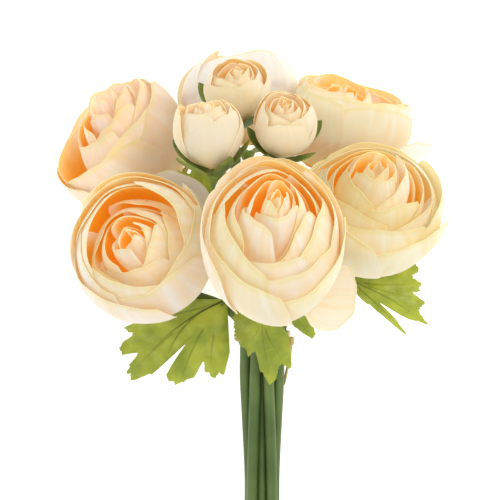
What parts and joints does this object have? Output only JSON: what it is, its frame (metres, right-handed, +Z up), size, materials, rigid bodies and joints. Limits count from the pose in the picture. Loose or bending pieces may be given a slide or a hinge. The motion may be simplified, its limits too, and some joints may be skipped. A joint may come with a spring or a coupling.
{
  "type": "ranunculus bouquet",
  "caption": "Hand-tied bunch of full ranunculus blooms round small buds, with cut leaves and green stems, lying on its back.",
  "frame": {"origin": "on the surface the bunch lies on, under the middle of its box", "axes": "+Z up from the surface, -Y along the stems to the cut ends, +X to the right when seen from above with the blooms away"},
  "size_m": [0.1755, 0.2582, 0.1502],
  "materials": {
    "petal_silk": "soft satin",
    "bud_silk": "soft satin",
    "stem_green": "matte, faintly ribbed",
    "leaf_cloth": "satin, veined",
    "raffia": "dry fibre"
  },
  "bodies": {
    "root": {"bloom_front": "petal_silk", "stem_bloom_front": "stem_green", "bloom_left": "petal_silk", "stem_bloom_left": "stem_green", "bloom_right": "petal_silk", "stem_bloom_right": "stem_green", "bloom_upper_left": "petal_silk", "stem_bloom_upper_left": "stem_green", "bloom_upper_right": "petal_silk", "stem_bloom_upper_right": "stem_green", "bloom_top": "petal_silk", "stem_bloom_top": "stem_green", "bud_left": "bud_silk", "stem_bud_left": "stem_green", "bud_right": "bud_silk", "stem_bud_right": "stem_green", "bud_top": "bud_silk", "stem_bud_top": "stem_green", "leaf_left": "leaf_cloth", "leaf_centre": "leaf_cloth", "leaf_right": "leaf_cloth", "leaf_small": "leaf_cloth", "leaf_inner": "leaf_cloth", "leaf_back_left": "leaf_cloth", "raffia_tie": "raffia"}
  },
  "joints": []
}
